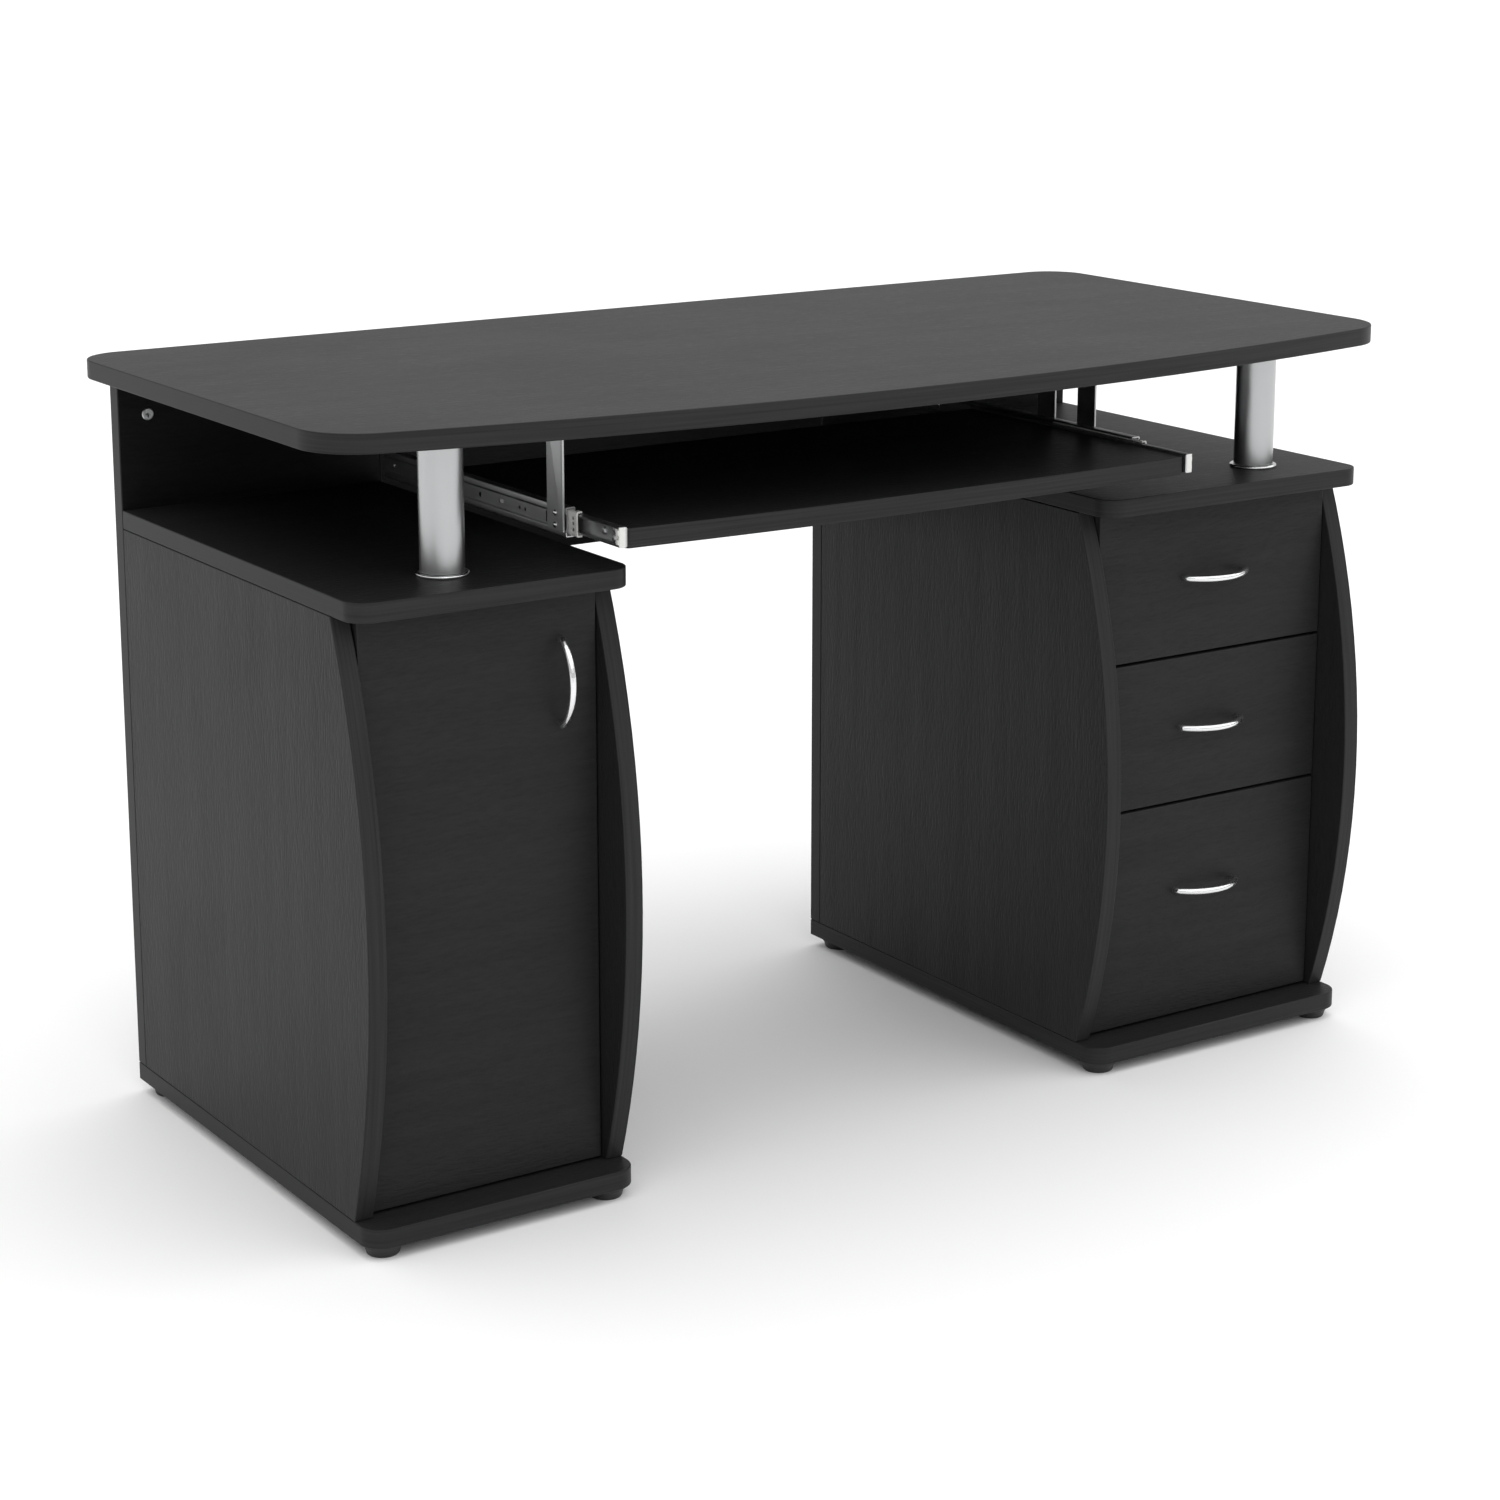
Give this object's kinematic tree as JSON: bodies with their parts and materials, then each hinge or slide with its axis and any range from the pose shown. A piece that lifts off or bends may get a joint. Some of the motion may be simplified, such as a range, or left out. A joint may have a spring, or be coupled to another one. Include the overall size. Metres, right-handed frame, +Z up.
{
  "type": "computer desk with keyboard tray",
  "caption": "Two-pedestal computer desk with a bowed top on posts, a pull-out keyboard tray, a hinged cupboard and a stack of drawers.",
  "frame": {"origin": "middle of the desk's footprint, on the floor", "axes": "+Z up, +X across the desk towards the drawer pedestal, -Y towards the user"},
  "size_m": [1.2, 0.6, 0.74],
  "materials": {
    "melamine_board": "satin charcoal melamine facing with a fine pressed wood grain on chipboard, matching edge band",
    "carcass_board": "satin charcoal melamine facing on chipboard",
    "drawer_board": "foil-wrapped chipboard, dark grey, matte",
    "satin_tube": "satin silver tube, lightly brushed",
    "handle_metal": "satin nickel on a bent rod",
    "zinc_steel": "bright zinc plated pressed steel sheet",
    "runner_coat": "epoxy coated pressed steel",
    "cage_plastic": "off-white moulded plastic",
    "foot_plastic": "black moulded plastic"
  },
  "bodies": {
    "frame": {"desktop": "melamine_board", "left_base": "melamine_board", "left_pedestal_top": "melamine_board", "left_side_panel_west": "melamine_board", "left_side_panel_east": "melamine_board", "left_back_panel": "carcass_board", "left_foot_front_west": "foot_plastic", "left_foot_front_east": "foot_plastic", "left_foot_rear_west": "foot_plastic", "left_foot_rear_east": "foot_plastic", "left_post": "satin_tube", "left_post_flange": "satin_tube", "right_base": "melamine_board", "right_pedestal_top": "melamine_board", "right_side_panel_west": "melamine_board", "right_side_panel_east": "melamine_board", "right_back_panel": "carcass_board", "right_foot_front_west": "foot_plastic", "right_foot_front_east": "foot_plastic", "right_foot_rear_west": "foot_plastic", "right_foot_rear_east": "foot_plastic", "right_post": "satin_tube", "right_post_flange": "satin_tube", "modesty_panel": "carcass_board", "cupboard_shelf": "carcass_board", "door_hinge_arm_lower": "zinc_steel", "door_hinge_arm_upper": "zinc_steel", "top_drawer_runner_west": "runner_coat", "top_drawer_runner_east": "runner_coat", "middle_drawer_runner_west": "runner_coat", "middle_drawer_runner_east": "runner_coat", "bottom_drawer_runner_west": "runner_coat", "bottom_drawer_runner_east": "runner_coat", "left_slide_fixed_member": "zinc_steel", "left_slide_front_strap": "zinc_steel", "left_slide_rear_strap": "zinc_steel", "right_slide_fixed_member": "zinc_steel", "right_slide_front_strap": "zinc_steel", "right_slide_rear_strap": "zinc_steel"},
    "keyboard_tray": {"keyboard_tray": "melamine_board", "left_slide_tray_member": "zinc_steel", "right_slide_tray_member": "zinc_steel"},
    "ball_cages": {"left_slide_ball_cage": "cage_plastic", "right_slide_ball_cage": "cage_plastic"},
    "door": {"cupboard_door": "melamine_board", "door_handle": "handle_metal", "door_hinge_cup_lower": "zinc_steel", "door_hinge_cup_upper": "zinc_steel"},
    "top_drawer": {"top_drawer_front": "melamine_board", "top_drawer_wrap": "drawer_board", "top_drawer_bottom": "drawer_board", "top_drawer_handle": "handle_metal"},
    "middle_drawer": {"middle_drawer_front": "melamine_board", "middle_drawer_wrap": "drawer_board", "middle_drawer_bottom": "drawer_board", "middle_drawer_handle": "handle_metal"},
    "bottom_drawer": {"bottom_drawer_front": "melamine_board", "bottom_drawer_wrap": "drawer_board", "bottom_drawer_bottom": "drawer_board", "bottom_drawer_handle": "handle_metal"}
  },
  "joints": [
    {"name": "keyboard_tray_slide", "type": "slide", "parent": "frame", "child": "keyboard_tray", "axis": [0, -1, 0], "range_m": [-0.084, 0.176]},
    {"name": "ball_cage_slide", "type": "slide", "parent": "frame", "child": "ball_cages", "axis": [0, -1, 0], "range_m": [-0.042, 0.088]},
    {"name": "cupboard_door_hinge", "type": "hinge", "parent": "frame", "child": "door", "pos_m": [-0.555, -0.198, 0.303], "axis": [0, 0, -1], "range_deg": [0, 90]},
    {"name": "top_drawer_slide", "type": "slide", "parent": "frame", "child": "top_drawer", "axis": [0, -1, 0], "range_m": [0, 0.3]},
    {"name": "middle_drawer_slide", "type": "slide", "parent": "frame", "child": "middle_drawer", "axis": [0, -1, 0], "range_m": [0, 0.3]},
    {"name": "bottom_drawer_slide", "type": "slide", "parent": "frame", "child": "bottom_drawer", "axis": [0, -1, 0], "range_m": [0, 0.3]}
  ],
  "couplings": [
    {"joint": "ball_cage_slide", "follows": "keyboard_tray_slide", "ratio": 0.5}
  ]
}
